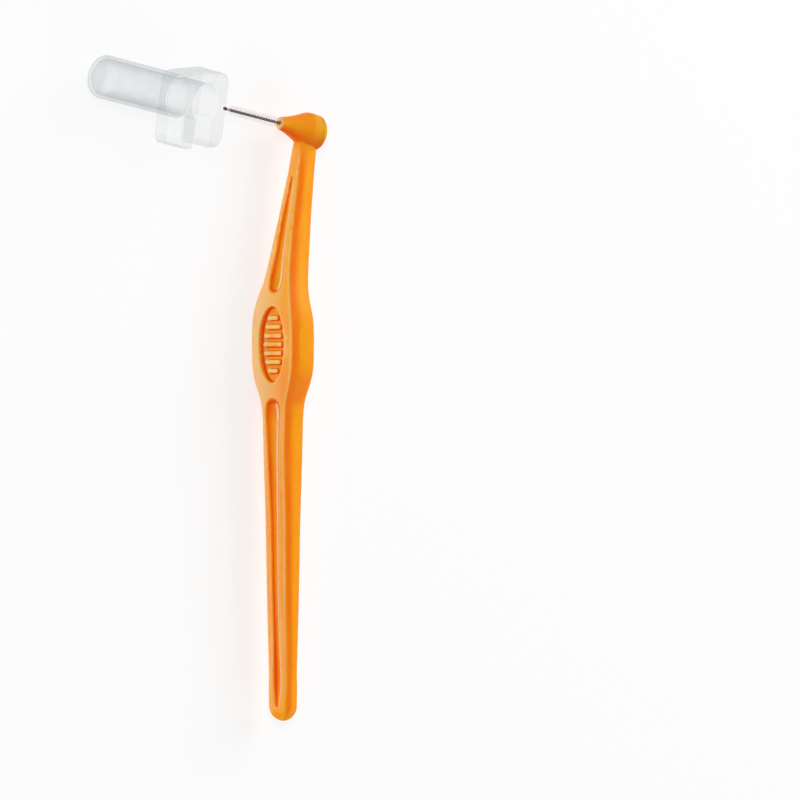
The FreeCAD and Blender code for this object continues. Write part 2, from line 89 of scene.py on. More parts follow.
class HandleLook(bpy.types.PropertyGroup):
    """Sizes and colours of the orange mouldings."""

    voxel: bpy.props.FloatProperty(
        name="Skin Step", description="Step of the handle's remeshed skin",
        default=0.13 * MM, subtype="DISTANCE", precision=6)
    lid_voxel: bpy.props.FloatProperty(
        name="Lid Skin Step", description="Step of the rear lid's remeshed skin",
        default=0.05 * MM, subtype="DISTANCE", precision=6)
    softening: bpy.props.IntProperty(
        name="Edge Softening", description="Passes that round the edges as a mould leaves them",
        default=1, min=0)
    faces: bpy.props.IntProperty(
        name="Most Triangles", description="Triangles that the handle's skin is thinned to",
        default=190000, min=1000)
    base: bpy.props.FloatVectorProperty(
        name="Plastic", description="Colour of the moulded plastic",
        default=(0.93, 0.3, 0.003), subtype="COLOR", size=3, min=0, max=1)
    # Painted light: a lit, paler copy of the plastic, laid on the faces that turn towards the
    # lamps.
    light: bpy.props.FloatVectorProperty(
        name="Lighter Plastic", description="Colour where the pigment is thinner",
        default=(0.94, 0.385, 0.004), subtype="COLOR", size=3, min=0, max=1)
    # Painted shade: a shaded, redder copy of the plastic, laid on the faces that turn away from the
    # lamps.
    deep: bpy.props.FloatVectorProperty(
        name="Deeper Plastic", description="Colour where the plastic is thick behind its face",
        default=(0.93, 0.23, 0.002), subtype="COLOR", size=3, min=0, max=1)
    seam_place: bpy.props.FloatProperty(
        name="Seam Place", description="Place of the head's seam along the wire's line",
        default=-0.95 * MM, subtype="DISTANCE", precision=6)
    seam_radius: bpy.props.FloatProperty(
        name="Seam Radius", description="Radius of the head's seam about the wire's line",
        default=2.88 * MM, subtype="DISTANCE", precision=6)
    seam_width: bpy.props.FloatProperty(
        name="Seam Bead", description="Radius of the bead along the head's seam",
        default=0.14 * MM, subtype="DISTANCE", precision=6)
    lid_thickness: bpy.props.FloatProperty(
        name="Lid Thickness", description="Thickness of the rear lid's disc",
        default=0.75 * MM, subtype="DISTANCE", precision=6)
    seam_depth: bpy.props.FloatProperty(
        name="Lid Seam Depth", description="Depth of the seam between head and lid",
        default=0.06 * MM, subtype="DISTANCE", precision=6)
    shoulder_reach: bpy.props.FloatProperty(
        name="Lid Shoulder Reach", description="Length by which the shoulder stands before the lid",
        default=0.2 * MM, subtype="DISTANCE", precision=6)
    shoulder_edge: bpy.props.FloatProperty(
        name="Lid Shoulder Edge", description="Rounding of the shoulder's rear edge",
        default=0.3 * MM, subtype="DISTANCE", precision=6)
    # Pale colour of the frosted front and back faces, with a painted sheen in it.
    frost_and_sheen: bpy.props.FloatVectorProperty(
        name="Frosted Front", description="Colour of the finely frosted front and back faces",
        default=(0.95, 0.67, 0.32), subtype="COLOR", size=3, min=0, max=1)
    # Painted shade in the grooves, the inner corners and the head's underside.
    hollow: bpy.props.FloatVectorProperty(
        name="Hollows", description="Deeper colour in grooves and inner corners",
        default=(0.85, 0.08, 0.002), subtype="COLOR", size=3, min=0, max=1)
    # Painted highlight along the front's outer edges.
    edge: bpy.props.FloatVectorProperty(
        name="Edges", description="Paler colour along outer edges, where the plastic is thin",
        default=(0.97, 0.62, 0.2), subtype="COLOR", size=3, min=0, max=1)
    # Painted highlight along the grooves' upper walls and on the nozzle's rim.
    painted_highlight: bpy.props.FloatVectorProperty(
        name="Groove Streak", description="Pale streak of thinner plastic along the grooves",
        default=(0.99, 0.8, 0.6), subtype="COLOR", size=3, min=0, max=1)
    edge_radius: bpy.props.FloatProperty(
        name="Edge Radius", description="Radius at which an edge takes its full tone",
        default=0.5 * MM, subtype="DISTANCE", precision=6)
    side_bow: bpy.props.FloatProperty(
        name="Side Bow", description="Depth by which the side faces fall away to their edges",
        default=0.18 * MM, subtype="DISTANCE", precision=6)
    light_depth: bpy.props.FloatProperty(
        name="Light Depth", description="Depth to which light spreads in the plastic",
        default=1.7 * MM, subtype="DISTANCE", precision=6)
    roughness: bpy.props.FloatProperty(
        name="Roughness", description="Middle roughness of the moulded surface",
        default=0.34, min=0, max=1, subtype="FACTOR")


class WireLook(bpy.types.PropertyGroup):
    """Sizes and colours of the twisted wire."""

    pitch: bpy.props.FloatProperty(
        name="Twist Pitch", description="Length of one full turn of the twisted pair",
        default=1.28 * MM, subtype="DISTANCE", precision=6)
    twist: bpy.props.FloatProperty(
        name="Twist Radius", description="Outer radius of the coated pair behind its tip",
        default=0.29 * MM, subtype="DISTANCE", precision=6)
    strand: bpy.props.FloatProperty(
        name="Coated Strand Radius", description="Radius of one coated strand",
        default=0.14 * MM, subtype="DISTANCE", precision=6)
    steel: bpy.props.FloatProperty(
        name="Steel Radius", description="Radius of the steel in a strand",
        default=0.11 * MM, subtype="DISTANCE", precision=6)
    bend: bpy.props.FloatProperty(
        name="End Bend Radius", description="Bend of the strands' ends inside the head",
        default=0.3 * MM, subtype="DISTANCE", precision=6)
    coating: bpy.props.FloatVectorProperty(
        name="Coating", description="Colour of the wire's plastic coating",
        default=(0.035, 0.003, 0.002), subtype="COLOR", size=3, min=0, max=1)
    neck_start: bpy.props.FloatProperty(
        name="Neck Start", description="Distance from the tip to where the pale neck starts",
        default=0.66 * MM, subtype="DISTANCE", precision=6)
    neck_end: bpy.props.FloatProperty(
        name="Neck End", description="Distance from the tip to where the pale neck ends",
        default=1.3 * MM, subtype="DISTANCE", precision=6)
    neck_fade: bpy.props.FloatProperty(
        name="Neck Fade", description="Half the length over which the pale neck fades",
        default=0.08 * MM, subtype="DISTANCE", precision=6)
    # Painted highlight along the crests of the strands.
    crest_highlight: bpy.props.FloatProperty(
        name="Crest Wear", description="Share of bare tone along the crests of the strands",
        default=0.6, min=0, max=1, subtype="FACTOR")
    # Length of the painted orange glow from the nozzle on the coating.
    nozzle_glow_length: bpy.props.FloatProperty(
        name="Foot Length", description="Length before the nozzle over which the coating reddens",
        default=1.4 * MM, subtype="DISTANCE", precision=6)
    # Painted orange glow from the nozzle, on the coating near it.
    nozzle_glow: bpy.props.FloatVectorProperty(
        name="Reddened Foot", description="Colour of the coating near the nozzle's glow",
        default=(0.42, 0.04, 0.03), subtype="COLOR", size=3, min=0, max=1)
    # Pale colour of the stretch behind the tip's loop, also used for the painted highlight along
    # the strands' crests.
    pale_coat: bpy.props.FloatVectorProperty(
        name="Bare Neck", description="Colour of the pale stretch behind the tip's loop",
        default=(0.62, 0.5, 0.47), subtype="COLOR", size=3, min=0, max=1)


class FilamentLook(bpy.types.PropertyGroup):
    """Sizes and colour of the filaments."""

    count: bpy.props.IntProperty(
        name="Filaments", description="Filaments that pass through the wire",
        default=210, min=1)
    radius: bpy.props.FloatProperty(
        name="Filament Radius", description="Radius of one filament",
        default=0.018 * MM, subtype="DISTANCE", precision=6)
    trim: bpy.props.FloatProperty(
        name="Uneven Trim", description="Share by which the shortest filament falls short",
        default=0.12, min=0, max=1, subtype="FACTOR")
    lean: bpy.props.FloatProperty(
        name="Lean", description="Most that a filament leans along the wire",
        default=math.radians(5), subtype="ANGLE")
    end_gap: bpy.props.FloatProperty(
        name="End Gap", description="Bare length between the nozzle and the first filament",
        default=0.06 * MM, subtype="DISTANCE", precision=6)
    tip_gap: bpy.props.FloatProperty(
        name="Tip Gap", description="Bare length between the solid's tip end and the last filament",
        default=0.35 * MM, subtype="DISTANCE", precision=6)
    colour: bpy.props.FloatVectorProperty(
        name="Nylon", description="Colour of the filaments",
        default=(0.44, 0.46, 0.46), subtype="COLOR", size=3, min=0, max=1)
    root_cover: bpy.props.FloatProperty(
        name="Root Cover", description="Opacity of the clear filaments where they leave the wire",
        default=0.04, min=0, max=1, subtype="FACTOR")
    end_cover: bpy.props.FloatProperty(
        name="End Cover", description="Opacity of the clear filaments at their ends",
        default=0.3, min=0, max=1, subtype="FACTOR")


class CapLook(bpy.types.PropertyGroup):
    """Edge size and colour of the clear cap."""

    edge: bpy.props.FloatProperty(
        name="Edge Radius", description="Radius of the cap's outer and inner edges",
        default=0.14 * MM, subtype="DISTANCE", precision=6)
    # Grey painted in place of the dark refraction along the cap's edges.
    tint: bpy.props.FloatVectorProperty(
        name="Tint", description="Colour of the clear plastic",
        default=(0.36, 0.42, 0.45), subtype="COLOR", size=3, min=0, max=1)
    pale_tint: bpy.props.FloatVectorProperty(
        name="Paler Tint", description="Colour of the clear plastic where it is clouded",
        default=(0.45, 0.51, 0.54), subtype="COLOR", size=3, min=0, max=1)


class StageLook(bpy.types.PropertyGroup):
    """Floor, light and camera."""

    ambient: bpy.props.FloatProperty(
        name="Ambient", description="Strength of the even light from all round",
        default=0.25, min=0)
    floor_size: bpy.props.FloatProperty(
        name="Floor Size", description="Side of the square floor",
        default=6.0, subtype="DISTANCE")
    lens: bpy.props.FloatProperty(
        name="Lens", description="Focal length in mm of the long studio lens",
        default=200.0, min=1)


def feed(tree, target, value):
    """Gives an input its own value, or links it to the output that it follows."""
    if isinstance(value, bpy.types.NodeSocket):
        tree.links.new(value, target)
    else:
        target.default_value = value


def node(tree, kind, inputs=None, **settings):
    """One node of a tree, with its settings and what its inputs hold or follow."""
    made = tree.nodes.new(kind)
    for name, value in settings.items():
        setattr(made, name, value)
    for name, value in (inputs or {}).items():
        feed(tree, made.inputs[name], value)
    return made


def named_sockets(tree, inputs, outputs):
    """Makes a tree's named inputs and outputs, each of its kind, and the nodes that hold them."""
    for in_out, kinds in (("INPUT", inputs), ("OUTPUT", outputs)):
        for name, kind in kinds.items():
            tree.interface.new_socket(name, in_out=in_out, socket_type="NodeSocket" + kind)
    return node(tree, "NodeGroupInput").outputs, node(tree, "NodeGroupOutput").inputs


def new_material(name):
    """An empty material with its Principled shader."""
    material = bpy.data.materials.new(name)
    material.use_nodes = True
    return material, material.node_tree, material.node_tree.nodes["Principled BSDF"]


def set_shader(tree, shader, inputs):
    """Feeds a shader's inputs; a value that is the same all over is set on the shader itself."""
    for name, value in inputs.items():
        feed(tree, shader.inputs[name], value)


def moulded_finish():
    """Shader group of a moulded surface: slow tone drift, uneven gloss and a fine grain."""
    name = "Moulded finish"
    tree = bpy.data.node_groups.get(name)
    if tree:
        return tree
    tree = bpy.data.node_groups.new(name, "ShaderNodeTree")
    given, wanted = named_sockets(
        tree,
        {"Drift Scale": "Float", "Gloss Scale": "Float", "Grain Scale": "Float"},
        {"Drift": "Float", "Gloss": "Float", "Grain": "Float"})
    place = node(tree, "ShaderNodeTexCoord").outputs["Object"]
    for label, detail, roughness in (("Drift", 2.0, 0.5), ("Gloss", 4.0, 0.6),
                                     ("Grain", 3.0, 0.65)):
        noise = node(tree, "ShaderNodeTexNoise",
                     {"Vector": place, "Scale": given[label + " Scale"],
                      "Detail": detail, "Roughness": roughness})
        feed(tree, wanted[label], noise.outputs["Fac"])
    return tree


def placed_finish(tree, drift_scale, gloss_scale, grain_scale):
    """The masks of the moulded finish, placed in a material with its own scales."""
    return node(tree, "ShaderNodeGroup",
                {"Drift Scale": drift_scale, "Gloss Scale": gloss_scale,
                 "Grain Scale": grain_scale},
                node_tree=moulded_finish()).outputs


def math_node(tree, operation, *values):
    """The result of a Math node, from numbers and other nodes' outputs."""
    return node(tree, "ShaderNodeMath", dict(enumerate(values)),
                operation=operation).outputs["Value"]


def product(tree, first, *others):
    """Masks multiplied with one another."""
    for other in others:
        first = math_node(tree, "MULTIPLY", first, other)
    return first


def spread(tree, source, low, high, start=0.3, end=0.7):
    """A mask, remapped to run from one value to another; noise keeps to its middle part."""
    return node(tree, "ShaderNodeMapRange",
                {"Value": source, "From Min": start, "From Max": end,
                 "To Min": low, "To Max": high}).outputs["Result"]


def rising(tree, source, start, end, least=0.0, most=1.0):
    """A mask that grows between two values of its source."""
    return spread(tree, source, least, most, start, end)


def falling(tree, source, start, end, most=1.0, least=0.0):
    """A mask that fades between two values of its source."""
    return spread(tree, source, most, least, start, end)


def split(tree, vector):
    """The X, Y and Z of a vector."""
    return node(tree, "ShaderNodeSeparateXYZ", {"Vector": vector}).outputs


def object_place(tree):
    """The place of a point in its object."""
    return node(tree, "ShaderNodeTexCoord").outputs["Object"]


def colour_mix(tree, mask, under, over):
    """One colour laid over another by a mask; each is a plain colour or a node's output."""
    under, over = (colour if isinstance(colour, bpy.types.NodeSocket) else (*colour, 1)
                   for colour in (under, over))
    return node(tree, "ShaderNodeMix", {"Factor": mask, "A": under, "B": over},
                data_type="RGBA").outputs["Result"]


def grain_bump(tree, source, strength, depth):
    """A bump from a height mask, as deep as the real grain."""
    return node(tree, "ShaderNodeBump",
                {"Height": source, "Strength": strength, "Distance": depth}).outputs["Normal"]


def from_wire(tree, place):
    """Distance from the wire's axis."""
    across = node(tree, "ShaderNodeMapping",
                  {"Vector": place, "Location": (-WIRE_X, 0, -WIRE_Z), "Scale": (1, 0, 1)})
    return node(tree, "ShaderNodeVectorMath", {0: across.outputs["Vector"]},
                operation="LENGTH").outputs["Value"]


def facing_shading_ramp(tree, facing, *stops):
    """Painted light and shade by which way a surface faces; each stop is a part of the normal and a
    colour.
    """
    made = node(tree, "ShaderNodeValToRGB", {"Fac": rising(tree, facing, -1.0, 1.0)})
    ramp = made.color_ramp.elements
    for part, colour in stops:
        stop = ramp.new((part + 1) / 2)
        stop.color = (*colour, 1)
    ramp.remove(ramp[0])
    ramp.remove(ramp[-1])
    return made.outputs["Color"]


def frosted_sheen_mask(tree, place, facing, bend, grain):
    """Mask of the flat front and back faces' frosted tone and painted sheen, speckled by the grain
    and strongest about the bulge's lower half.
    """
    flat_on = rising(tree, math_node(tree, "ABSOLUTE", facing["Y"]), 0.88, 0.97)
    upright = falling(tree, math_node(tree, "ABSOLUTE", facing["Z"]), 0.1, 0.3)
    outside_hollows = rising(tree, bend, -0.1, 0.0)
    speckle = spread(tree, grain, 0.6, 1.0)
    near_bulge = falling(tree, math_node(tree, "ABSOLUTE", place["X"]), 10 * MM, 26 * MM,
                         least=0.45)
    low = falling(tree, place["Z"], 2 * MM, 8.5 * MM, least=0.12)
    return product(tree, flat_on, upright, outside_hollows, speckle, near_bulge, low)


def hollow_shade_mask(tree, place, facing, bend):
    """Mask of the painted shade on the front grooves' walls and inner corners, behind the head."""
    bent_in = falling(tree, bend, -0.12, 0.1, most=0.9)
    off_front = rising(tree, facing["Y"], -0.96, -0.8)
    off_sides = falling(tree, facing["Y"], -0.4, -0.2)
    behind_head = rising(tree, place["X"], -32 * MM, -30 * MM)
    return product(tree, bent_in, off_front, off_sides, behind_head)


def edge_highlight_mask(tree, place, facing, bend):
    """Mask of the painted highlight along the front's outer edges, between the head and the tail's
    end.
    """
    bent_out = rising(tree, bend, 0.25, 0.5, most=0.8)
    in_front = falling(tree, facing["Y"], -0.45, -0.25)
    behind_head = rising(tree, place["X"], *HEAD_FADE)
    before_tail = falling(tree, place["X"], 54 * MM, 60 * MM)
    return product(tree, bent_out, in_front, behind_head, before_tail)


def groove_highlight_mask(tree, facing, bend):
    """Mask of the painted highlight along the upper walls of the front's grooves."""
    bent_in = falling(tree, bend, -0.12, -0.02, most=0.75)
    under_steep = rising(tree, facing["Z"], -0.36, -0.2)
    over_level = falling(tree, facing["Z"], -0.13, -0.02)
    off_front = falling(tree, facing["Y"], -0.9, -0.8)
    return product(tree, bent_in, under_steep, over_level, off_front)


def nozzle_rim(tree, place):
    """Mask of the painted highlight on the nozzle's thin rim, about the wire."""
    at_rim = falling(tree, place["Y"], HANDLE_LOW.y + 0.05 * MM, HANDLE_LOW.y + 0.28 * MM,
                     most=0.4)
    on_head = falling(tree, place["X"], -34 * MM, -33 * MM)
    return product(tree, at_rim, on_head)


def orange_plastic(look):
    """Moulded polypropylene, with light and shade painted into its colour by which way its skin
    faces, how it bends and where it is.
    """
    material, tree, shader = new_material("orange_polypropylene")
    finish = placed_finish(tree, 160.0, 900.0, 9000.0)
    place = split(tree, object_place(tree))
    outside = node(tree, "ShaderNodeAttribute", attribute_name="outside")
    facing = split(tree, outside.outputs["Vector"])
    bend = node(tree, "ShaderNodeAttribute", attribute_name="bend").outputs["Fac"]
    # Painted shade on the faces turned towards the tail.
    footward = product(tree,
                       rising(tree, facing["X"], 0.06, 0.3, most=0.8),
                       falling(tree, place["X"], 52 * MM, 60 * MM))
    # Painted light and shade on the head, by which way its skin faces along the handle.
    on_head = falling(tree, place["X"], *HEAD_FADE, most=0.85)
    head_light_and_shade = facing_shading_ramp(
        tree, facing["X"], (-0.95, look.deep), (-0.6, look.base), (-0.15, look.light),
        (0.2, look.light), (0.85, look.hollow))
    # Painted highlights along the grooves and on the nozzle's rim.
    pale = math_node(tree, "MAXIMUM", groove_highlight_mask(tree, facing, bend),
                     nozzle_rim(tree, place))
    # Painted light and shade across the handle: a lit front, a shaded crease and a lit band along
    # the side's middle.
    tone = facing_shading_ramp(
        tree, facing["Y"], (-1.0, look.light), (-0.55, look.light), (-0.36, look.deep),
        (-0.2, look.deep), (-0.03, look.light), (0.12, look.light), (0.35, look.base))
    # Laid over it: painted shade towards the tail, the head's painted light and shade, a random
    # drift to the plain plastic, the frost with its painted sheen, painted shade in hollows, and
    # painted highlights on edges, grooves and the nozzle's rim.
    for mask, laid_over in (
            (footward, look.deep),
            (on_head, head_light_and_shade),
            (spread(tree, finish["Drift"], 0.0, 0.3), look.base),
            (frosted_sheen_mask(tree, place, facing, bend, finish["Grain"]), look.frost_and_sheen),
            (hollow_shade_mask(tree, place, facing, bend), look.hollow),
            (edge_highlight_mask(tree, place, facing, bend), look.edge),
            (pale, look.painted_highlight)):
        tone = colour_mix(tree, mask, tone, laid_over)
    set_shader(tree, shader, {
        "Base Color": tone,
        "Roughness": spread(tree, finish["Gloss"], look.roughness - 0.05,
                            look.roughness + 0.07),
        "Normal": grain_bump(tree, finish["Grain"], 0.35, 0.01 * MM),
        "IOR": 1.49,
        "Specular IOR Level": 0.07,
        "Subsurface Weight": 1.0,
        "Subsurface Radius": (1.0, 0.13, 0.04),
        "Subsurface Scale": look.light_depth,
    })
    return material


def wire_coating(look):
    """Dark red-brown coating, pale on the neck, with a painted highlight along the strands' crests
    and a painted orange glow near the nozzle.
    """
    material, tree, shader = new_material("wire_coating_plastic")
    finish = placed_finish(tree, 1500.0, 4000.0, 20000.0)
    place = object_place(tree)
    along = split(tree, place)["Y"]
    fade = look.neck_fade
    neck_start = WIRE_TIP_Y + look.neck_start
    neck_end = WIRE_TIP_Y + look.neck_end
    neck = product(tree,
                   rising(tree, along, neck_start - fade, neck_start + fade),
                   falling(tree, along, neck_end - fade, neck_end + fade),
                   spread(tree, finish["Drift"], 0.75, 1.0))
    # Painted highlight along the strands' crests.
    crest_highlights = product(tree,
                     rising(tree, along, neck_end - fade, neck_end + fade),
                     rising(tree, from_wire(tree, place), look.twist * 0.72,
                            look.twist * 0.97, most=look.crest_highlight),
                     spread(tree, finish["Drift"], 0.7, 1.0))
    # Painted orange glow from the nozzle on the coating near it.
    near_nozzle = rising(tree, along, HANDLE_LOW.y - look.nozzle_glow_length, HANDLE_LOW.y, most=0.8)
    coat_with_pale_marks = colour_mix(tree, math_node(tree, "MAXIMUM", neck, crest_highlights), look.coating, look.pale_coat)
    set_shader(tree, shader, {
        "Base Color": colour_mix(tree, near_nozzle, coat_with_pale_marks, look.nozzle_glow),
        "Roughness": spread(tree, finish["Gloss"], 0.38, 0.52),
        "Normal": grain_bump(tree, finish["Grain"], 0.3, 0.004 * MM),
        "IOR": 1.5,
        "Specular IOR Level": 0.04,
    })
    return material


def drawn_steel():
    """Stainless steel with the fine lines of drawing along the strand."""
    material, tree, shader = new_material("drawn_steel")
    dark_line = (0.42, 0.41, 0.4)
    bright_line = (0.62, 0.61, 0.6)
    stretch = node(tree, "ShaderNodeMapping",
                   {"Vector": object_place(tree), "Scale": (20000.0, 400.0, 20000.0)})
    lines = node(tree, "ShaderNodeTexNoise",
                 {"Vector": stretch.outputs["Vector"], "Scale": 1.0, "Detail": 3.0})
    set_shader(tree, shader, {
        "Base Color": colour_mix(tree, lines.outputs["Fac"], dark_line, bright_line),
        "Roughness": spread(tree, lines.outputs["Fac"], 0.2, 0.4),
        "Metallic": 1.0,
    })
    return material


def nylon(look):
    """Clear white filament, with a slight change of tone from one to the next."""
    material, tree, shader = new_material("nylon_filament")
    finish = placed_finish(tree, 5000.0, 9000.0, 30000.0)
    dimmer = 0.86
    tint = tuple(channel * dimmer for channel in look.colour)
    set_shader(tree, shader, {
        "Base Color": colour_mix(tree, spread(tree, finish["Drift"], 0.0, 1.0), tint,
                                 look.colour),
        "Alpha": rising(tree, from_wire(tree, object_place(tree)), SLEEVE_RADIUS,
                        BRISTLE_REACH * 0.6, least=look.root_cover, most=look.end_cover),
        "Roughness": spread(tree, finish["Gloss"], 0.25, 0.45),
        "IOR": 1.53,
    })
    return material


def clear_plastic(look):
    """Clear moulded plastic: see-through where it faces the eye; a denser grey along its edges is
    painted in place of refraction.
    """
    material, tree, shader = new_material("clear_cap_plastic")
    finish = placed_finish(tree, 300.0, 700.0, 5000.0)
    # Denser grey where the surface turns from the eye: painted in place of the dark refraction
    # along the edges.
    turned_away = node(tree, "ShaderNodeLayerWeight", {"Blend": 0.35}).outputs["Facing"]
    body = rising(tree, turned_away, 0.1, 0.95, least=0.03, most=0.5)
    cloud = spread(tree, finish["Drift"], 0.0, 0.03)
    set_shader(tree, shader, {
        "Base Color": colour_mix(tree, finish["Drift"], look.tint, look.pale_tint),
        "Alpha": math_node(tree, "ADD", body, cloud),
        "Roughness": spread(tree, finish["Gloss"], 0.06, 0.14),
        "Normal": grain_bump(tree, finish["Drift"], 0.2, 0.05 * MM),
        "IOR": 1.49,
    })
    return material


def linked_piece(name, mesh, material):
    """A new piece at the origin with one material."""
    mesh.name = name
    mesh.materials.clear()
    mesh.materials.append(material)
    piece = bpy.data.objects.new(name, mesh)
    bpy.context.scene.collection.objects.link(piece)
    return piece


def evaluated_mesh(piece):
    """The mesh of a piece with its modifiers applied."""
    graph = bpy.context.evaluated_depsgraph_get()
    return bpy.data.meshes.new_from_object(piece.evaluated_get(graph), depsgraph=graph)


def apply_modifiers(piece):
    """Makes a piece's evaluated mesh its own, and takes its modifiers off."""
    mesh = evaluated_mesh(piece)
    piece.modifiers.clear()
    piece.data = mesh


def smooth_faces(mesh):
    """Shades all of a mesh's faces smoothly."""
    for face in mesh.polygons:
        face.use_smooth = True


def merged_copy(source):
    """A CAD node's shape as one closed mesh with shared corners."""
    work = bmesh.new()
    work.from_mesh(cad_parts[source].data)
    bmesh.ops.remove_doubles(work, verts=work.verts, dist=0.0005 * MM)
    corners = [vertex.co.copy() for vertex in work.verts]
    faces = [[vertex.index for vertex in face.verts] for face in work.faces]
    work.free()
    mesh = bpy.data.meshes.new(source)
    mesh.from_pydata(corners, [], faces)
    return mesh


def about_wire(radius, y, angle):
    """A point about the wire's line."""
    return (WIRE_X + radius * math.cos(angle), y, WIRE_Z + radius * math.sin(angle))


def turned_corners(outline, steps):
    """An outline of radii and places along Y, turned about the wire's line in steps."""
    return [about_wire(radius, y, TURN * number / steps)
            for number in range(steps) for radius, y in outline]


def turned_ring(outline):
    """A ring about the wire's line, turned from a closed outline."""
    steps = 96
    count = len(outline)
    faces = []
    for number in range(steps):
        here = number * count
        there = (number + 1) % steps * count
        for corner in range(count):
            after = (corner + 1) % count
            faces.append((here + corner, there + corner, there + after, here + after))
    return turned_corners(outline, steps), faces


def joined(mesh, corners, faces):
    """A mesh with a further closed shape beside its own."""
    old = [vertex.co.copy() for vertex in mesh.vertices]
    shift = len(old)
    every = [tuple(face.vertices) for face in mesh.polygons]
    every += [tuple(corner + shift for corner in face) for face in faces]
    whole = bpy.data.meshes.new(mesh.name)
    whole.from_pydata(old + [Vector(corner) for corner in corners], [], every)
    return whole


def seam_ring(place, radius, width):
    """Round bead that marks the seam on the head's flank."""
    sides = 12
    outline = []
    for number in range(sides):
        turn = TURN * number / sides
        outline.append((radius + width * math.cos(turn), place + width * math.sin(turn)))
    return turned_ring(outline)


def lid_shoulder(look):
    """Rounded shoulder in line with the drum, which closes the seam in front of the lid."""
    low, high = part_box("rear_lid")
    rim = (high.z - low.z) / 2
    front = high.y - look.lid_thickness - look.shoulder_reach
    back = high.y - look.shoulder_edge / 2
    edge = look.shoulder_edge
    cut = edge * 0.3
    return turned_ring([(rim / 2, front), (rim - look.seam_depth, front),
                        (rim, front + look.shoulder_reach), (rim, back - edge),
                        (rim - cut, back - cut), (rim - edge, back), (rim / 2, back)])


def moulded_copy(source, name, material, voxel, softening, faces, extra):
    """A CAD node and a further shape as one closed skin, as soft at its edges as a moulding."""
    piece = linked_piece(name, joined(merged_copy(source), *extra), material)
    skin = piece.modifiers.new("Skin", "REMESH")
    skin.mode = "VOXEL"
    skin.voxel_size = voxel
    skin.use_smooth_shade = True
    soft = piece.modifiers.new("Soften", "SMOOTH")
    soft.factor = 0.5
    soft.iterations = softening
    apply_modifiers(piece)
    triangles = sum(len(face.vertices) - 2 for face in piece.data.polygons)
    if triangles > faces:
        thin = piece.modifiers.new("Thin", "DECIMATE")
        thin.ratio = faces / triangles
        apply_modifiers(piece)
    piece.data.name = name
    piece.data.materials.clear()
    piece.data.materials.append(material)
    smooth_faces(piece.data)
    return piece


def swept(tree, path, radius, sides):
    """A path's mesh with a round section and closed ends, in a Geometry Nodes tree."""
    ring = node(tree, "GeometryNodeCurvePrimitiveCircle",
                {"Resolution": sides, "Radius": radius})
    return node(tree, "GeometryNodeCurveToMesh",
                {"Curve": path, "Profile Curve": ring.outputs["Curve"],
                 "Fill Caps": True}).outputs["Mesh"]


def real_shape(tree, shape, material):
    """The end of a Geometry Nodes tree: smooth, free of instances and with its material."""
    smooth = node(tree, "GeometryNodeSetShadeSmooth", {"Geometry": shape})
    real = node(tree, "GeometryNodeRealizeInstances", {"Geometry": smooth.outputs["Geometry"]})
    return node(tree, "GeometryNodeSetMaterial",
                {"Geometry": real.outputs["Geometry"],
                 "Material": material}).outputs["Geometry"]


def round_strand_tree():
    """Geometry Nodes tree that gives a path its round section."""
    tree = bpy.data.node_groups.new("Round strand", "GeometryNodeTree")
    given, wanted = named_sockets(
        tree,
        {"Path": "Geometry", "Radius": "Float", "Sides": "Int", "Material": "Material"},
        {"Strand": "Geometry"})
    strand = swept(tree, given["Path"], given["Radius"], given["Sides"])
    feed(tree, wanted["Strand"], real_shape(tree, strand, given["Material"]))
    return tree


def set_inputs(modifier, tree, values):
    """Sets a Geometry Nodes modifier's inputs by their sockets' identifiers."""
    for item in tree.interface.items_tree:
        if item.item_type == "SOCKET" and item.in_out == "INPUT" and item.name in values:
            modifier[item.identifier] = values[item.name]


def grown(name, base, tree, values, material):
    """A plain mesh piece from a base object and a Geometry Nodes tree."""
    modifier = base.modifiers.new("Grow", "NODES")
    modifier.node_group = tree
    set_inputs(modifier, tree, {**values, "Material": material})
    bpy.context.view_layer.update()
    mesh = evaluated_mesh(base)
    bpy.data.objects.remove(base)
    return linked_piece(name, mesh, material)


def path_object(points):
    """A poly curve through points, as the base of a swept piece."""
    curve = bpy.data.curves.new("path", "CURVE")
    curve.dimensions = "3D"
    spline = curve.splines.new("POLY")
    spline.points.add(len(points) - 1)
    for corner, point in zip(spline.points, points):
        corner.co = (*point, 1)
    base = bpy.data.objects.new("path", curve)
    bpy.context.scene.collection.objects.link(base)
    return base


def twist_angle(look, y):
    """How far the pair is turned at a place along the wire."""
    return TURN * (y - CORE_HIGH.y) / look.pitch


def leg_points(look, side, offset, end_y):
    """One strand's helix from inside the head to the tip's loop; it ends flat at the head."""
    steps_per_turn = 20
    start_y = WIRE_TIP_Y + look.strand + offset
    steps = round((end_y - start_y) / look.pitch * steps_per_turn)
    points = []
    for number in range(steps + 1):
        y = end_y + (start_y - end_y) * number / steps
        points.append(about_wire(side * offset, y, twist_angle(look, y)))
    return points


def loop_points(look, offset):
    """The half turn that joins the two strands at the tip."""
    steps = 10
    centre_y = WIRE_TIP_Y + look.strand + offset
    angle = twist_angle(look, centre_y)
    points = []
    for number in range(1, steps):
        turn = math.pi * number / steps
        points.append(about_wire(offset * math.cos(turn), centre_y - offset * math.sin(turn),
                                 angle))
    return points


def bent_end(look, side, offset):
    """The strand's end inside the head, from its outer tip to where the twist starts."""
    steps = 6
    arm_y = CORE_HIGH.y - look.steel
    reach = (CORE_HIGH.x - CORE_LOW.x) / 2 - look.steel / 2
    points = [(WIRE_X + side * reach, arm_y, WIRE_Z)]
    for number in range(steps):
        turn = math.pi / 2 * number / steps
        points.append((WIRE_X + side * (offset + look.bend * (1 - math.sin(turn))),
                       arm_y - look.bend * (1 - math.cos(turn)), WIRE_Z))
    return points


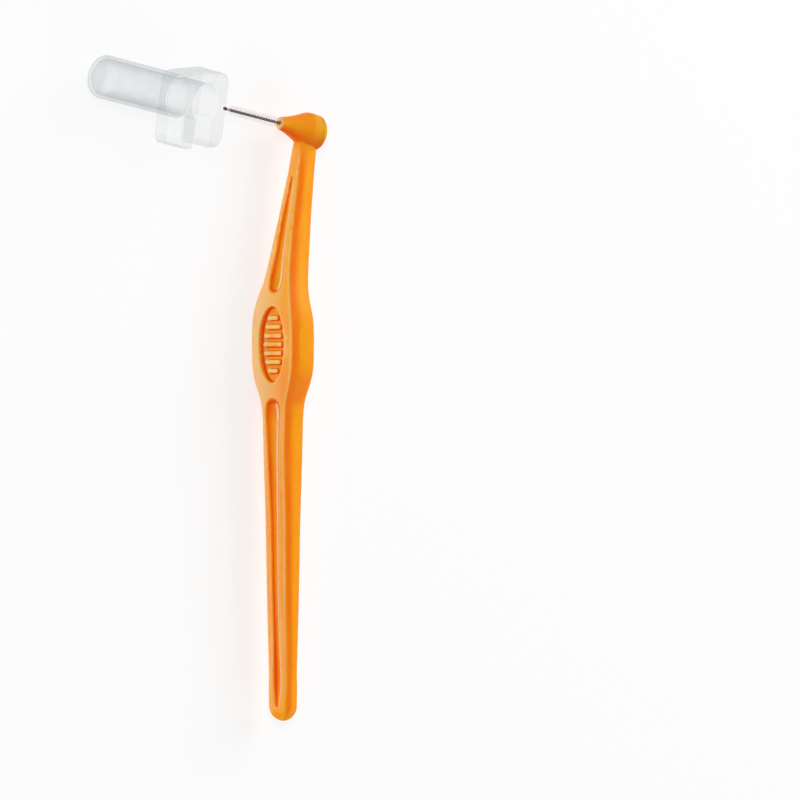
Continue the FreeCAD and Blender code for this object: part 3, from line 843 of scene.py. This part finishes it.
def wire_path(look, end_y, with_bent_ends):
    """The folded wire: along one strand, round the tip's loop and back along the other."""
    offset = look.twist - look.strand
    near = leg_points(look, 1, offset, end_y)
    far = leg_points(look, -1, offset, end_y)
    points = near + loop_points(look, offset) + far[::-1]
    if with_bent_ends:
        points = bent_end(look, 1, offset) + points + bent_end(look, -1, offset)[::-1]
    return points


def filament_tree():
    """Geometry Nodes tree of the filament rows that wind round the wire."""
    tree = bpy.data.node_groups.new("Filament rows", "GeometryNodeTree")
    given, wanted = named_sockets(
        tree,
        {"Base": "Geometry", "Start": "Vector", "Filaments": "Int", "Row Length": "Float",
         "Twist Pitch": "Float", "First Angle": "Float", "Reach": "Float",
         "Filament Radius": "Float", "Uneven Trim": "Float", "Lean": "Float",
         "Seed": "Int", "Material": "Material"},
        {"Rows": "Geometry"})
    uneven_angle = 0.07
    bow_in_radii = 2.2
    sides = 5
    cuts = 7

    def worked(operation, *values):
        return math_node(tree, operation, *values)

    def vector(**parts):
        return node(tree, "ShaderNodeCombineXYZ", parts).outputs["Vector"]

    def chance(low, high, offset):
        seed = worked("ADD", given["Seed"], offset)
        return node(tree, "FunctionNodeRandomValue", {"Min": low, "Max": high, "Seed": seed},
                    data_type="FLOAT").outputs["Value"]

    index = node(tree, "GeometryNodeInputIndex").outputs["Index"]
    share = worked("DIVIDE", index, worked("SUBTRACT", given["Filaments"], 1))
    along = worked("MULTIPLY", share, given["Row Length"])
    wound = worked("MULTIPLY", worked("DIVIDE", along, given["Twist Pitch"]), TURN)
    angle = worked("ADD", worked("ADD", wound, given["First Angle"]),
                   chance(-uneven_angle, uneven_angle, 1))
    place = node(tree, "ShaderNodeVectorMath",
                 {0: vector(Y=worked("MULTIPLY", along, -1)), 1: given["Start"]},
                 operation="ADD")
    points = node(tree, "GeometryNodePoints",
                  {"Count": given["Filaments"], "Position": place.outputs["Vector"]})

    reach = given["Reach"]
    straight = node(tree, "GeometryNodeCurvePrimitiveLine",
                    {"Start": vector(X=worked("MULTIPLY", reach, -1)), "End": vector(X=reach)})
    cut = node(tree, "GeometryNodeResampleCurve",
               {"Curve": straight.outputs["Curve"], "Count": cuts})
    position = node(tree, "GeometryNodeInputPosition").outputs["Position"]
    across = worked("DIVIDE", split(tree, position)["X"], reach)
    bow = worked("MULTIPLY", across, worked("ABSOLUTE", across))
    bow = worked("MULTIPLY", bow, given["Filament Radius"])
    bowed = node(tree, "GeometryNodeSetPosition",
                 {"Geometry": cut.outputs["Curve"],
                  "Offset": vector(Z=worked("MULTIPLY", bow, bow_in_radii))})
    filament = swept(tree, bowed.outputs["Geometry"], given["Filament Radius"], sides)

    lean = chance(worked("MULTIPLY", given["Lean"], -1), given["Lean"], 2)
    length = worked("SUBTRACT", 1.0, chance(0.0, given["Uneven Trim"], 3))
    rows = node(tree, "GeometryNodeInstanceOnPoints",
                {"Points": points.outputs["Points"], "Instance": filament,
                 "Rotation": vector(Y=angle, Z=lean), "Scale": vector(X=length, Y=1.0, Z=1.0)})
    feed(tree, wanted["Rows"], real_shape(tree, rows.outputs["Instances"], given["Material"]))
    return tree


def tip_bead():
    """Round closed tip that covers the wire's loop."""
    steps = 14
    sides = 24
    outline = []
    for number in range(1, steps):
        turn = math.pi * number / steps
        outline.append((SLEEVE_RADIUS * math.sin(turn),
                        WIRE_TIP_Y + SLEEVE_RADIUS * (1 - math.cos(turn))))
    poles = [(WIRE_X, WIRE_TIP_Y, WIRE_Z), (WIRE_X, WIRE_TIP_Y + 2 * SLEEVE_RADIUS, WIRE_Z)]
    count = len(outline)
    faces = []
    for side in range(sides):
        here = len(poles) + side * count
        there = len(poles) + (side + 1) % sides * count
        faces.append((0, here, there))
        faces.append((1, there + count - 1, here + count - 1))
        for corner in range(count - 1):
            faces.append((here + corner, here + corner + 1, there + corner + 1, there + corner))
    return poles + turned_corners(outline, sides), faces


def store_bend(mesh, radius):
    """Stores which way each corner faces and how the skin bends there, for its tones.

    The bend is 1 on an outer edge of the given radius, 0 on a flat and below 0 in a hollow.
    """
    blur_passes = 12
    corners = numpy.empty(len(mesh.vertices) * 3)
    normals = numpy.empty(len(mesh.vertices) * 3)
    edges = numpy.empty(len(mesh.edges) * 2, dtype=numpy.int32)
    mesh.vertices.foreach_get("co", corners)
    mesh.vertex_normals.foreach_get("vector", normals)
    mesh.edges.foreach_get("vertices", edges)
    corners = corners.reshape(-1, 3)
    normals = normals.reshape(-1, 3)
    first, second = edges.reshape(-1, 2).T
    count = numpy.bincount(edges, minlength=len(corners))
    step = corners[second] - corners[first]
    length = (step ** 2).sum(axis=1)
    drop_first = (step * normals[first]).sum(axis=1) / length
    drop_second = -(step * normals[second]).sum(axis=1) / length

    def near(at_first, at_second):
        total = numpy.bincount(first, at_first, len(corners))
        total += numpy.bincount(second, at_second, len(corners))
        return total / count

    bend = -2 * radius * near(drop_first, drop_second)
    for number in range(blur_passes):
        bend = (bend + near(bend[second], bend[first])) / 2
    mesh.attributes.new("bend", "FLOAT", "POINT").data.foreach_set(
        "value", bend.astype(numpy.float32))
    mesh.attributes.new("outside", "FLOAT_VECTOR", "POINT").data.foreach_set(
        "vector", normals.ravel().astype(numpy.float32))


def bow_sides(mesh, depth):
    """Lets the handle's two side faces fall away towards their front and back edges."""
    slice_length = 0.5 * MM
    head_start = -33 * MM / slice_length
    tail_end = 59 * MM / slice_length
    fade_length = 3 * MM / slice_length
    side_share = 0.8
    bow_from = 0.55
    bow_over = 0.3
    places = []
    widest = {}
    for vertex in mesh.vertices:
        x, y, z = vertex.co
        along = x * math.cos(HANDLE_TILT) + y * math.sin(HANDLE_TILT)
        across = y * math.cos(HANDLE_TILT) - x * math.sin(HANDLE_TILT)
        station = round(along / slice_length)
        out = abs(z - HANDLE_MIDDLE_Z)
        places.append((station, across, out))
        widest[station] = max(widest.get(station, 0), out)
    edges = {}
    for station, across, out in places:
        if out > widest[station] * side_share:
            low, high = edges.get(station, (across, across))
            edges[station] = (min(low, across), max(high, across))
    for vertex, (station, across, out) in zip(mesh.vertices, places):
        low, high = edges[station]
        offset = min(1, abs(2 * (across - low) / max(high - low, slice_length) - 1))
        side = min(1, max(0, (out / widest[station] - bow_from) / bow_over))
        fade = min(1, max(0, (station - head_start) / fade_length),
                   max(0, (tail_end - station) / fade_length))
        sink = depth * offset ** 3 * side * fade
        vertex.co.z += sink if vertex.co.z < HANDLE_MIDDLE_Z else -sink


def on_body(piece, body, slot, *nodes):
    """Seats a finished piece on its body and hides the nodes that it stands for; the material slot
    is not used.
    """
    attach(piece, body)
    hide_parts(*nodes)


class BRUSH_OT_mould_handle(bpy.types.Operator):
    """Mould the one-piece handle with its head, and the rear lid."""

    bl_idname = "brush.mould_handle"
    bl_label = "Mould Handle"

    def execute(self, context):
        look = context.scene.brush_handle
        plastic = orange_plastic(look)
        ring = seam_ring(look.seam_place, look.seam_radius, look.seam_width)
        handle = moulded_copy("handle", "moulded_handle", plastic, look.voxel,
                              look.softening, look.faces, ring)
        bow_sides(handle.data, look.side_bow)
        store_bend(handle.data, look.edge_radius)
        on_body(handle, "brush", "handle_plastic", "handle")
        lid = moulded_copy("rear_lid", "head_lid", plastic, look.lid_voxel,
                           look.softening, look.faces // 3, lid_shoulder(look))
        store_bend(lid.data, look.edge_radius)
        on_body(lid, "brush", "handle_plastic", "rear_lid")
        return {"FINISHED"}


class BRUSH_OT_twist_wire(bpy.types.Operator):
    """Twist the coated wire and the steel inside it."""

    bl_idname = "brush.twist_wire"
    bl_label = "Twist Wire"

    def execute(self, context):
        look = context.scene.brush_wire
        tree = round_strand_tree()
        coat = wire_coating(look)
        coated = grown("twisted_wire", path_object(wire_path(look, SLEEVE_HIGH.y, False)),
                       tree, {"Radius": look.strand, "Sides": 12}, coat)
        beaded = joined(coated.data, *tip_bead())
        beaded.materials.append(coat)
        smooth_faces(beaded)
        coated.data = beaded
        on_body(coated, "brush", "wire_sleeve", "wire_coating")
        twist_end = CORE_HIGH.y - look.steel - look.bend
        strands = grown("steel_strands", path_object(wire_path(look, twist_end, True)),
                        tree, {"Radius": look.steel, "Sides": 10}, drawn_steel())
        on_body(strands, "brush", "wire_steel", "wire_core")
        return {"FINISHED"}


class BRUSH_OT_fill_bristles(bpy.types.Operator):
    """Fill the wire's turns with rows of filaments."""

    bl_idname = "brush.fill_bristles"
    bl_label = "Fill Bristles"

    def execute(self, context):
        look = context.scene.brush_filaments
        wire = context.scene.brush_wire
        start_y = BRUSH_HIGH.y - look.end_gap
        values = {
            "Start": (WIRE_X, start_y, WIRE_Z),
            "Filaments": look.count,
            "Row Length": start_y - BRUSH_LOW.y - look.tip_gap,
            "Twist Pitch": wire.pitch,
            "First Angle": TURN * (CORE_HIGH.y - start_y) / wire.pitch + math.pi / 2,
            "Reach": BRISTLE_REACH,
            "Filament Radius": look.radius,
            "Uneven Trim": look.trim,
            "Lean": look.lean,
            "Seed": 11,
        }
        white = nylon(look)
        base = linked_piece("rows", bpy.data.meshes.new("rows"), white)
        rows = grown("filaments", base, filament_tree(), values, white)
        on_body(rows, "brush", "filament", "bristles")
        return {"FINISHED"}


class BRUSH_OT_clear_cap(bpy.types.Operator):
    """Make the clear cap with small edge radii."""

    bl_idname = "brush.clear_cap"
    bl_label = "Clear Cap"

    def execute(self, context):
        look = context.scene.brush_cap
        cap = linked_piece("clear_cap", merged_copy("protective_cap"), clear_plastic(look))
        smooth_faces(cap.data)
        flat = cap.modifiers.new("Flat Faces", "DECIMATE")
        flat.decimate_type = "DISSOLVE"
        flat.angle_limit = math.radians(1)
        edge = cap.modifiers.new("Edges", "BEVEL")
        edge.width = look.edge
        edge.segments = 3
        edge.limit_method = "ANGLE"
        edge.angle_limit = math.radians(40)
        shade = cap.modifiers.new("Shade", "WEIGHTED_NORMAL")
        shade.keep_sharp = True
        apply_modifiers(cap)
        on_body(cap, "cap", "cap_plastic", "protective_cap")
        return {"FINISHED"}


def soft_box(name, target, direction, distance, size, power):
    """A square studio lamp that shines at a point."""
    data = bpy.data.lights.new(name, "AREA")
    data.shape = "SQUARE"
    data.size = size
    data.energy = power
    lamp = bpy.data.objects.new(name, data)
    toward = Vector(direction).normalized()
    lamp.location = target + toward * distance
    lamp.rotation_mode = "QUATERNION"
    lamp.rotation_quaternion = (-toward).to_track_quat("-Z", "Y")
    bpy.context.scene.collection.objects.link(lamp)


def shown_rays(tree):
    """The light path, and a mask of the rays that show the background, seen or mirrored."""
    rays = node(tree, "ShaderNodeLightPath").outputs
    shown = math_node(tree, "MAXIMUM", rays["Is Camera Ray"], rays["Is Glossy Ray"])
    return rays, math_node(tree, "MAXIMUM", shown, rays["Is Transmission Ray"])


def dim_world(look):
    """Even light from all round, which shows as white."""
    world = bpy.data.worlds.new("studio")
    bpy.context.scene.world = world
    world.use_nodes = True
    tree = world.node_tree
    set_shader(tree, tree.nodes["Background"], {
        "Color": (1, 1, 1, 1),
        "Strength": rising(tree, shown_rays(tree)[1], 0.0, 1.0, least=look.ambient),
    })


def pale_floor(look):
    """Pale table top that keeps the object's shadow and lets the lamp beneath shine through."""
    half = look.floor_size / 2
    mesh = bpy.data.meshes.new("floor")
    corners = [(-half, -half, 0), (half, -half, 0), (half, half, 0), (-half, half, 0)]
    mesh.from_pydata(corners, [], [(0, 1, 2, 3)])
    material, tree, shader = new_material("pale_floor")
    rays, shown = shown_rays(tree)
    lit_grey = (0.9, 0.9, 0.9)
    shown_grey = (0.27, 0.27, 0.27)
    shown_glow = (0.72, 0.72, 0.72)
    set_shader(tree, shader, {
        "Base Color": colour_mix(tree, shown, lit_grey, shown_grey),
        "Emission Color": colour_mix(tree, shown, (0, 0, 0), shown_glow),
        "Emission Strength": 1.0,
        "Roughness": 0.9,
        "Specular IOR Level": 0.0,
    })
    through = node(tree, "ShaderNodeBsdfTransparent").outputs["BSDF"]
    either = node(tree, "ShaderNodeMixShader",
                  {"Fac": rays["Is Shadow Ray"], 1: shader.outputs["BSDF"], 2: through})
    feed(tree, tree.nodes["Material Output"].inputs["Surface"], either.outputs["Shader"])
    linked_piece("floor", mesh, material)


def photo_camera(look):
    """A long lens at the photograph's viewing angle, rolled so that the head is at the top."""
    photo_side = 800
    pixels_per_mm = 5.87
    footward = 9.33
    sideward = 19.85
    up = Vector((-math.cos(HANDLE_TILT), -math.sin(HANDLE_TILT), 0))
    back = Vector((0.105, -0.661, 0.743)).normalized()
    right = up.cross(back).normalized()
    middle = Vector((0, 0, HANDLE_MIDDLE_Z)) - up * footward * MM + right * sideward * MM
    data = bpy.data.cameras.new("camera")
    data.lens = look.lens
    width = photo_side / pixels_per_mm * MM
    distance = width * data.lens / data.sensor_width
    data.clip_start = distance / 100
    data.clip_end = distance * 100
    camera = bpy.data.objects.new("camera", data)
    bpy.context.scene.collection.objects.link(camera)
    bpy.context.scene.camera = camera
    camera.location = middle + back * distance
    turn = Matrix((right, up, back)).transposed()
    camera.rotation_mode = "QUATERNION"
    camera.rotation_quaternion = turn.to_quaternion()


# Soft boxes: name, direction from the object, distance and side in metres, power in watts
LAMPS = (
    ("side_glow", (0.116, -0.734, -0.669), 0.5, 0.3, 0.95),
    ("table_glow", (-0.1, -0.05, -1.0), 0.5, 0.3, 0.9),
    ("back_light", (-0.66, 0.5, 0.56), 0.8, 0.7, 4.3),
    ("foot_light", (0.66, 0.5, 0.56), 0.8, 0.7, 2.2),
    ("eye_light", (-0.1, -0.6, 0.8), 0.8, 0.16, 1.9),
)


class BRUSH_OT_set_stage(bpy.types.Operator):
    """Set the pale floor, the soft light and the camera."""

    bl_idname = "brush.set_stage"
    bl_label = "Set Stage"

    def execute(self, context):
        look = context.scene.brush_stage
        context.scene.view_settings.view_transform = "Standard"
        dim_world(look)
        pale_floor(look)
        centre = (CAD_BOX[0] + CAD_BOX[1]) / 2
        for name, direction, distance, size, power in LAMPS:
            soft_box(name, centre, direction, distance, size, power)
        photo_camera(look)
        return {"FINISHED"}


class BRUSH_PT_maker(bpy.types.Panel):
    """Lists the steps that make the brush."""

    bl_label = "Interdental Brush"
    bl_idname = "BRUSH_PT_maker"
    bl_space_type = "VIEW_3D"
    bl_region_type = "UI"
    bl_category = "Brush"

    def draw(self, context):
        for operator in STEPS:
            self.layout.operator(operator.bl_idname)


LOOKS = {
    "brush_handle": HandleLook,
    "brush_wire": WireLook,
    "brush_filaments": FilamentLook,
    "brush_cap": CapLook,
    "brush_stage": StageLook,
}
STEPS = (BRUSH_OT_mould_handle, BRUSH_OT_twist_wire, BRUSH_OT_fill_bristles,
         BRUSH_OT_clear_cap, BRUSH_OT_set_stage)


def register():
    for group in LOOKS.values():
        bpy.utils.register_class(group)
    for name, group in LOOKS.items():
        setattr(bpy.types.Scene, name, bpy.props.PointerProperty(type=group))
    for operator in STEPS:
        bpy.utils.register_class(operator)
    bpy.utils.register_class(BRUSH_PT_maker)


def unregister():
    bpy.utils.unregister_class(BRUSH_PT_maker)
    for operator in reversed(STEPS):
        bpy.utils.unregister_class(operator)
    for name in LOOKS:
        delattr(bpy.types.Scene, name)
    for group in reversed(list(LOOKS.values())):
        bpy.utils.unregister_class(group)


def main():
    register()
    bpy.ops.brush.mould_handle()
    bpy.ops.brush.twist_wire()
    bpy.ops.brush.fill_bristles()
    bpy.ops.brush.clear_cap()
    bpy.ops.brush.set_stage()


if __name__ == "__main__":
    main()
